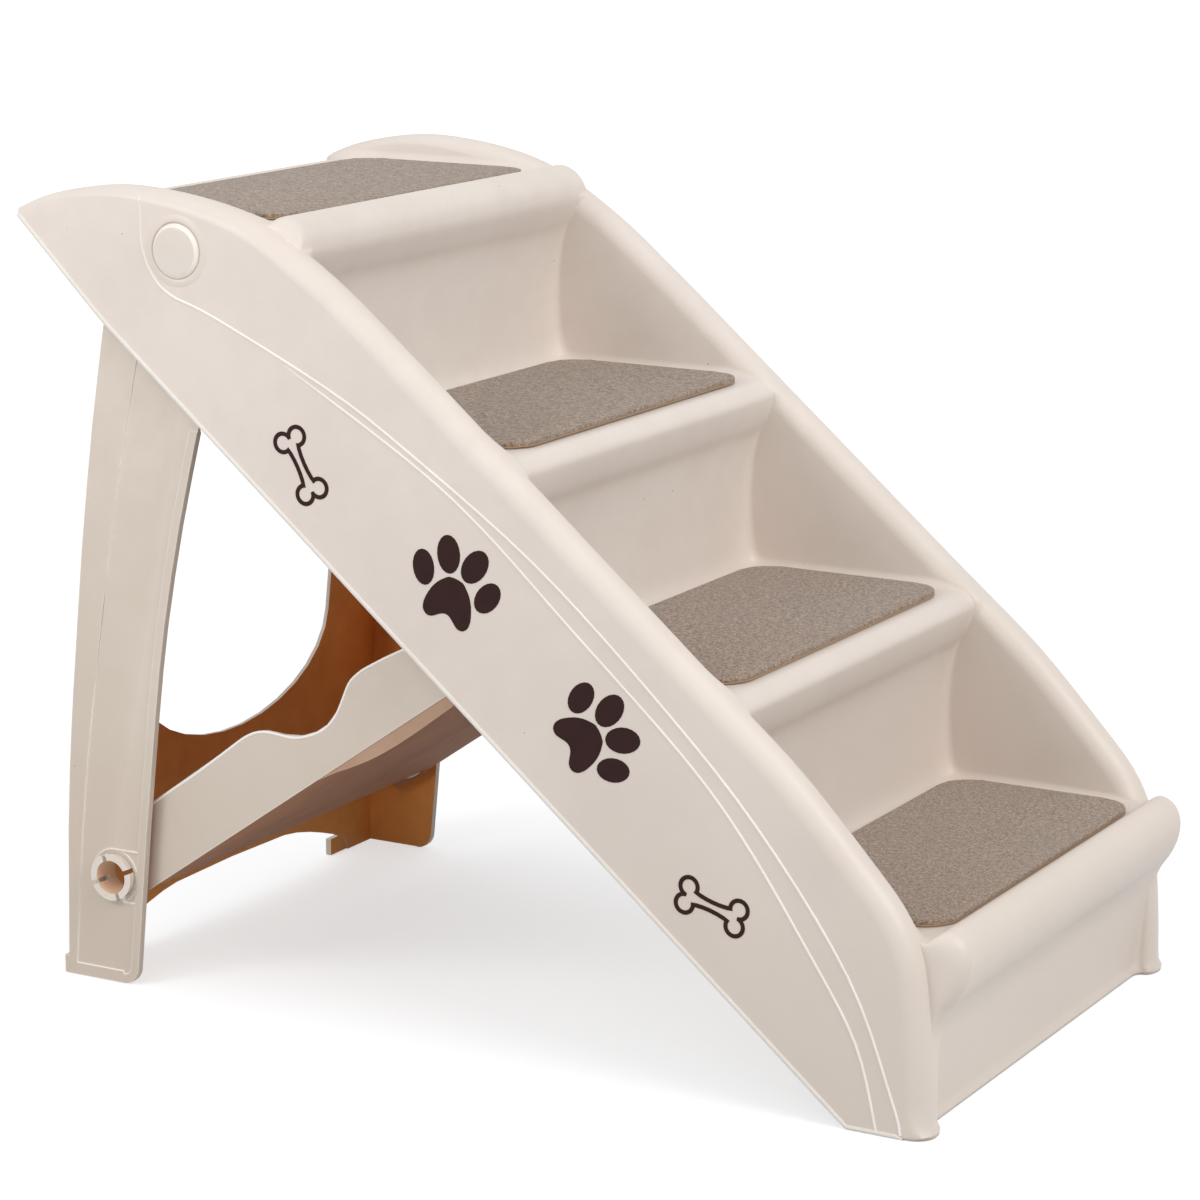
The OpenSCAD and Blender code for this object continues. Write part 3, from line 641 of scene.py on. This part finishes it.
def styledLines(s, t):  # the two raised lines along each rail
    crest = stairPaths(s)[1]
    crestRun = lengths(crest)
    bm = bmesh.new()
    for side in (-1, 1):
        for shares in (s["lowerLine"], s["upperLine"]):
            path = filled(smooth(sized(shares, s["frontX"], s["crestZ"]), s["curveSteps"]),
                          s["crestGap"])
            run = lengths(path)
            stations = []
            for d in run:  # they start thin, and follow the round of the crest
                spot, way = along(path, run, d)
                ridge = along(crest, crestRun, nearest(crest, crestRun, spot))[0]
                high = max(0, 1 - (ridge - spot).length / crestTall(s, ridge))
                y = s["outerY"] - crestRadius * (1 - math.sqrt(1 - high * high))
                stations.append((spot, way, y, min(1, t["thinnest"] + d / t["fade"])))

            def place(i, j):
                spot, way, y, size = stations[j]
                off, high = halfRound(way, t["half"] * size, t["high"] * size, i, t["around"])
                return at(spot.x + off.x, side * (y - t["sunk"] + high), spot.y + off.y)

            sweep(bm, t["around"] + 1, len(stations), place)
    bmesh.ops.recalc_face_normals(bm, faces=bm.faces)
    for face in bm.faces:
        if face.normal.y * face.calc_center_median().y < -1e-9:
            face.normal_flip()
    # the raised lines are in the lighter plastic, a painted highlight
    piece("railLines", bm, rimHighlightPlastic, "stairs", sharp=60)


styledLines(stairs, styledLine)

tips = {"start": -0.5, "ahead": 0.4, "insets": [(1.1, 0.65), (1.1, 0.39), (2.64, 0.26)]}


def railTips(section, s, t):  # rounded plugs at the rear ends of the hollow rails
    bm = bmesh.new()
    for side in (-1, 1):
        ring = [bm.verts.new(at(p.x + t["ahead"], side * y, p.y)) for y, p in section
                if y >= s["innerY"] + t["start"]]
        face = bm.faces.new(ring)
        face.normal_update()
        if face.normal.x > 0:
            face.normal_flip()
        for inset, bulge in t["insets"]:
            bmesh.ops.inset_region(bm, faces=[face], thickness=inset * mm, depth=bulge * mm,
                                   use_even_offset=True)
    piece("railTips", bm, bodyPlastic, "stairs", sharp=50)


railTips(rearSection, stairs, tips)

pivots = {  # profiles: (radius, height over the rail)
    "x": 117.5,
    "z": 477,
    "button": [(0, 2.4), (13.9, 2.4), (14.6, 2.3), (15.1, 1.9), (16.4, 0.9), (16.8, 0.5),
               (16.9, -1)],
    # a flat ring just over the rail, coloured as painted shade for a groove
    "groove": [(16.8, 0.15), (17.7, 0.15)],
    "collar": [(17.6, -1), (17.6, 0.3), (17.9, 0.6), (18.8, 0.65), (20.4, 0.4), (22, 0.1),
               (23, -0.3)],
    "headStart": 15,
    "headShare": 0.8,
    "around": 72,
    "flat": 0.97,
}


def turned(name, profile, side, material):  # a round piece about a pivot's axis
    v = pivots
    bm = bmesh.new()
    row = [bm.verts.new(at(v["x"] + r, side * (stairs["outerY"] + h), v["z"])) for r, h in profile]
    edges = [bm.edges.new(pair) for pair in zip(row, row[1:])]
    bmesh.ops.spin(bm, geom=row + edges, cent=at(v["x"], 0, v["z"]), axis=(0, 1, 0),
                   angle=math.tau, steps=v["around"], use_merge=True)
    bmesh.ops.remove_doubles(bm, verts=bm.verts, dist=merging)
    outwards(bm, 1, side)
    if isinstance(material, list):  # the second material, on the rounded edge, is a painted highlight
        for face in bm.faces:
            face.material_index = 1 if abs(face.normal.y) < v["flat"] else 0
    piece(name, bm, material, "stairs", sharp=50)


# rear leg, brace and pins

legs = {  # in metres, as the CAD frame is
    "edge": 0.0007,
    "pinEdge": 0.0005,
    "plateInside": 0.1755,
    "plateOutside": 0.1785,
    "border": (0.1803, 0.1809),
    "panelEdge": 0.148,
    "lipX": -0.3036,
    "boreRadius": 0.0125,
    "braceInside": 0.1683,
}

braceLook = {  # along and above the brace's pivot line, in mm
    "x": 54.7,
    "z": 71,
    "angle": 35.02,
    "outerY": 171.2,
    "below": 18.8,
    "lip": (185, 198),
    "wave": (60, 276),
    "longEdge": 50,
    "edgeAbove": 20,
    "wallAbove": 3,
    "cuts": 24,
    "curveSteps": 4,
    "beadSteps": 6,
    "beadGap": 4,
    "bead": 0.9,
    "beadHigh": 0.6,
    "beadSunk": 0.1,
    "around": 6,
    "topEdge": [(20, 26.97), (43.4, 27.3), (87, 27.6), (114.4, 28.6), (130.6, 29.4),
                (138.1, 29.3), (144.7, 28.2), (149.4, 26.4), (153.8, 23.9), (158.4, 20.3),
                (162.9, 16.4), (167.7, 12.8), (173.2, 10.1), (178.9, 8.1), (185.2, 6.8),
                (191.9, 6.3), (200.1, 7.6), (207.9, 10.9), (215, 15.2), (222.7, 20),
                (228.7, 22.4), (237.9, 23.4), (246.7, 22.9), (259.9, 21.6), (277.3, 19.2)],
    "fold": [(169, 0.3), (182, 2), (197, 5), (213, 7.4), (230, 8.4), (245.5, 8.4), (265, 7.9),
             (290, 6.8)],
    "foldIn": 0.4,
    "foldWall": 2,
    "foldUp": 0.5,
}


def dressed(name, node, materials, body, edge, inside=None, change=None):
    bm = bmesh.new()
    cadCopy(bm, node)
    if change:
        change(bm)
    if inside:
        for face in bm.faces:
            face.material_index = inside(face)
    obj = piece(name, bm, materials, body, merge=False)
    bevelled(obj, edge)
    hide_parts(node)


def smallHead(bm):  # the pin's head stays under the button
    v = pivots
    middle = at(v["x"], 0, v["z"])
    for vert in bm.verts:
        if Vector((vert.co.x - middle.x, vert.co.z - middle.z)).length > v["headStart"] * mm:
            vert.co.x = middle.x + (vert.co.x - middle.x) * v["headShare"]
            vert.co.z = middle.z + (vert.co.z - middle.z) * v["headShare"]


def bracePoint(reach, up):  # along and above the brace's pivot line, as x and z
    b = braceLook
    turn = math.radians(b["angle"])
    return Vector((b["x"] + reach * math.cos(turn) - up * math.sin(turn),
                   b["z"] + reach * math.sin(turn) + up * math.cos(turn)))


def braceShares(spot):  # the same, the other way round
    b = braceLook
    turn = math.radians(b["angle"])
    x, z = spot.x / mm + middleX - b["x"], spot.z / mm - b["z"]
    return x * math.cos(turn) + z * math.sin(turn), z * math.cos(turn) - x * math.sin(turn)


def moveUp(vert, reach, up):
    spot = bracePoint(reach, up)
    vert.co.x, vert.co.z = (spot.x - middleX) * mm, spot.y * mm


def easedBrace(bm):  # a flat web, and a flowing line along the top of the walls
    b = braceLook
    for vert in bm.verts:
        reach, up = braceShares(vert.co)
        if up < -b["below"] - 0.5 and b["lip"][0] < reach < b["lip"][1]:
            moveUp(vert, reach, -b["below"])
    bmesh.ops.remove_doubles(bm, verts=bm.verts, dist=merging)
    bmesh.ops.dissolve_degenerate(bm, edges=bm.edges, dist=1e-5)
    longEdges = [e for e in bm.edges if e.calc_length() > b["longEdge"] * mm
                 and all(braceShares(v.co)[1] > b["edgeAbove"] for v in e.verts)]
    bmesh.ops.subdivide_edges(bm, edges=longEdges, cuts=b["cuts"], use_grid_fill=True)
    curve = smooth(b["topEdge"], b["curveSteps"])
    for vert in bm.verts:
        reach, up = braceShares(vert.co)
        if up > b["wallAbove"] and b["wave"][0] < reach < b["wave"][1]:
            after = next(i for i, q in enumerate(curve) if q[0] > reach)
            low, high = curve[after - 1], curve[after]
            moveUp(vert, reach, low.lerp(high, (reach - low[0]) / (high[0] - low[0]))[1])


def braceTrim(b):  # a bead along the top edge, lighter as a painted highlight, and a folded margin under the web, darker as painted shade
    bm = bmesh.new()
    folds = smooth(b["fold"], b["curveSteps"])
    path = smooth([bracePoint(x, y - b["bead"]) for x, y in b["topEdge"]], b["beadSteps"])
    path = filled(path, b["beadGap"])
    run = lengths(path)
    stations = [along(path, run, d) for d in run]
    for side in (-1, 1):
        def place(i, j):
            spot, way = stations[j]
            off, high = halfRound(way, b["bead"], b["beadHigh"], i, b["around"])
            return at(spot.x + off.x, side * (b["outerY"] - b["beadSunk"] + high),
                      spot.y + off.y)

        def fold(i, j):
            reach, deep = folds[j]
            inwards = b["foldIn"] if i < 2 else b["foldWall"]
            spot = bracePoint(reach, -b["below"] - (deep if 0 < i < 3 else -b["foldUp"]))
            return at(spot.x, side * (b["outerY"] - inwards), spot.y)

        sweep(bm, b["around"] + 1, len(stations), place)
        beadFaces = len(bm.faces)
        sweep(bm, 4, len(folds), fold)
        bm.faces.ensure_lookup_table()
        for face in bm.faces[beadFaces:]:
            face.material_index = 1
    bmesh.ops.recalc_face_normals(bm, faces=bm.faces)
    for face in bm.faces:
        side = 1 if face.calc_center_median().y > 0 else -1
        if not face.material_index and face.normal.y * side < -1e-6:
            face.normal_flip()
    piece("braceTrim", bm, [rimHighlightPlastic, foldShadePlastic], "brace", sharp=60)


def legInside(face):  # 0 for the outside, 1 for the inside in painted shade, 2 for the raised border's edge in painted highlight
    spot, way = face.calc_center_median(), face.normal
    y, level = abs(spot.y), abs(way.y) < 0.5
    if level and legs["border"][0] < y < legs["border"][1]:
        return 2
    if abs(way.x) < 0.5 and y < legs["panelEdge"] or spot.x < legs["lipX"]:
        return 0  # rims of the opening and the arch, and the lips of the feet
    if y < legs["plateInside"] and way.x > -0.5:
        return 1
    return 1 if y < legs["plateOutside"] and abs(way.y) > 0.5 else 0


def pegInside(face):  # 1 for the bore
    out = face.calc_center_median() - at(braceLook["x"], 0, braceLook["z"])
    out.y = 0
    return 1 if out.length < legs["boreRadius"] and face.normal.dot(out.normalized()) < -0.3 else 0


def braceInside(face):  # 1 for the inner sides and the underside, which are in painted shade
    under = abs(face.normal.y) < 0.5 and face.normal.z < -0.3
    return 1 if under or abs(face.calc_center_median().y) < legs["braceInside"] else 0


dressed("legFrame", "leg_frame", [legPlastic, insideShadePlastic, rimHighlightPlastic], "rear_leg",
        legs["edge"], legInside)
dressed("braceFrame", "brace", [legPlastic, webShadePlastic], "brace",
        legs["edge"], braceInside, easedBrace)
braceTrim(braceLook)
for side, way in (("left", 1), ("right", -1)):
    turned("pivotButton_" + side, pivots["button"], way, [pinPlastic, rimHighlightPlastic])
    turned("pivotGrooveShade_" + side, pivots["groove"], way, grooveShadePlastic)
    turned("pivotCollar_" + side, pivots["collar"], way, bodyPlastic)
    dressed("pivotPin_" + side, "pivot_pin_" + side, pinPlastic, "stairs",
            legs["pinEdge"], change=smallHead)
    dressed("bracePeg_" + side, "brace_peg_" + side, [pinPlastic, borePlastic], "brace",
            legs["pinEdge"], pegInside)
print("leg, brace and pins made")


# felt pads

pads = {
    "width": 302,
    "depths": [139, 139, 139, 128],
    "insets": [27, 12, 13, 24.5],
    "corner": 24,
    "cornerStep": 9,
    "wavy": (0.25, 1.7, 0.6),
    "layers": [(1.6, 0), (1.6, 0.7), (0, 0.75), (0, 1.7), (0.35, 1.75), (0, 2.2), (0, 3.5),
               (0.25, 3.85), (0.8, 4)],
    "backing": 3,
    "underside": 0.1,
}


def feltPad(p, k):  # a rounded outline, swept up through the layers: (distance inwards, height)
    depth, width, corner = p["depths"][k], p["width"], p["corner"]
    front = stairs["platform"] + k * stairs["run"] - p["insets"][k]
    base = stairs["topZ"] - k * stairs["rise"]
    outline = []
    for turn, (x, y) in enumerate(((1, 1), (-1, 1), (-1, -1), (1, -1))):
        middle = Vector((front - depth / 2 + x * (depth / 2 - corner), y * (width / 2 - corner)))
        for t in range(0, 91, p["cornerStep"]):
            angle = math.radians(t + 90 * turn)
            outline.append((middle, Vector((math.cos(angle), math.sin(angle)))))
    high, quick, slow = p["wavy"]
    wavy = [high * math.sin(i * quick) * math.sin(i * slow) for i in range(len(outline))]
    bm = bmesh.new()

    def place(i, j):
        middle, way = outline[i]
        inwards, up = p["layers"][j]
        spot = middle + way * (corner - inwards)
        return at(spot.x, spot.y, base + up + (wavy[i] if 1 < j else 0))

    for ring in sweep(bm, len(outline), len(p["layers"]), place, closed=True):
        bm.faces.new(ring)
    bmesh.ops.recalc_face_normals(bm, faces=bm.faces)
    for face in bm.faces:
        height = face.calc_center_median().z / mm - base
        tan = p["underside"] < height < p["layers"][p["backing"]][1]
        face.material_index = 1 if tan else 0
    obj = piece("feltPad_%d" % (k + 1), bm, [felt, backing], "stairs", sharp=50)
    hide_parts("tread_pad_%d" % (k + 1))


for k in range(4):
    feltPad(pads, k)
for name, node in nodes.items():
    if "print" in name:
        for slotHeld in node.material_slots:
            slotHeld.material = ink
print("felt and figures made")


# camera, light and floor

view = {
    "lens": 116.2155,
    "sensor": 36,
    "place": (1.15799, -2.10564, 0.78941),
    "yaw": 29.07,
    "pitch": 12.731,
    "roll": 0.3065,
}


def linked(name, data):
    obj = bpy.data.objects.new(name, data)
    bpy.context.scene.collection.objects.link(obj)
    return obj


def placeCamera(v):
    yaw, pitch, roll = (math.radians(v[k]) for k in ("yaw", "pitch", "roll"))
    ahead = Vector((-math.sin(yaw) * math.cos(pitch), math.cos(yaw) * math.cos(pitch),
                    -math.sin(pitch)))
    right = Vector((math.cos(yaw), math.sin(yaw), 0))
    up = right.cross(ahead)
    axisX = right * math.cos(roll) + up * math.sin(roll)
    axisY = -right * math.sin(roll) + up * math.cos(roll)
    data = bpy.data.cameras.new("camera")
    data.lens = v["lens"]
    data.sensor_width = v["sensor"]
    data.sensor_fit = "HORIZONTAL"
    camera = linked("camera", data)
    turn = Matrix((axisX, axisY, -ahead)).transposed().to_4x4()
    camera.matrix_world = Matrix.Translation(v["place"]) @ turn
    bpy.context.scene.camera = camera


placeCamera(view)

studio = {
    "world": 0.57,
    "sky": (0.955, 0.975, 1),
    "lamps": [  # name, place, target, size and power
        ("key", (-0.9, -1.6, 1.2), (-0.2, 0, 0.35), 0.9, 12.2),
        ("front", (2.9, -0.6, 2.4), (0, 0, 0.25), 2.2, 62),
        ("side", (0.3, -2.6, 2.6), (0, 0, 0.3), 1.8, 10),
        ("top", (0.1, 0.7, 3.0), (0, 0, 0.2), 2.4, 1),
    ],
    "floorColor": (0.5, 0.505, 0.51),
    "floorSize": 40,
    "floorDrop": 0.0004,
    "floorGlow": 0.62,
    "farGlow": 0.2,
    "farReach": (0.9, 3),
}


def lampAt(name, place, target, size, power):
    data = bpy.data.lights.new(name, "AREA")
    data.shape = "DISK"
    data.size = size
    data.energy = power
    lamp = linked(name, data)
    lamp.location = place
    lamp.rotation_euler = (Vector(target) - Vector(place)).to_track_quat("-Z", "Y").to_euler()


def litWorld(s):  # soft light from all round, and plain white for the camera and in reflections
    world = bpy.data.worlds.new("studio")
    bpy.context.scene.world = world
    look = Look(world)
    sky = look.tree.nodes["Background"]
    look.plug(sky.inputs["Color"], s["sky"])
    look.plug(sky.inputs["Strength"], s["world"])
    rays = look.add("ShaderNodeLightPath")
    white = look.add("ShaderNodeBackground", None, {"Color": (1, 1, 1), "Strength": 1})
    seen = look.add("ShaderNodeMath", {"operation": "MAXIMUM"},
                    [rays["Is Camera Ray"], rays["Is Glossy Ray"]])[0]
    both = look.add("ShaderNodeMixShader", None, [seen, Wire(look, sky.outputs[0]), white[0]])
    look.plug(look.tree.nodes["World Output"].inputs["Surface"], both[0])


def paleFloor(s):  # it glows a little where it is seen, and more far away, so it ends in white
    bm = bmesh.new()
    bmesh.ops.create_grid(bm, x_segments=1, y_segments=1, size=s["floorSize"],
                          matrix=Matrix.Translation((0, 0, -s["floorDrop"])))
    mesh = bpy.data.meshes.new("floor")
    bm.to_mesh(mesh)
    bm.free()
    floor = linked("floor", mesh)
    look = Look(bpy.data.materials.new("pale floor"))
    mesh.materials.append(look.finish(Base_Color=s["floorColor"], Roughness=0.8))
    rays = look.add("ShaderNodeLightPath")
    seen = rays["Is Camera Ray"] + rays["Is Glossy Ray"] + rays["Is Transmission Ray"]
    far = look.add("ShaderNodeVectorMath", {"operation": "LENGTH"}, [look.place()])["Value"]
    level = s["floorGlow"] + s["farGlow"] * far.within(*s["farReach"])
    glow = look.add("ShaderNodeEmission", None, {"Color": (1, 1, 1), "Strength": seen * level})
    both = look.add("ShaderNodeAddShader", None,
                    [Wire(look, look.shader.outputs[0]), glow["Emission"]])
    look.plug(look.tree.nodes["Material Output"].inputs["Surface"], both[0])


for lamp in studio["lamps"]:
    lampAt(*lamp)
litWorld(studio)
paleFloor(studio)
bpy.context.scene.view_settings.view_transform = "Standard"
print("camera, lamps and floor set")
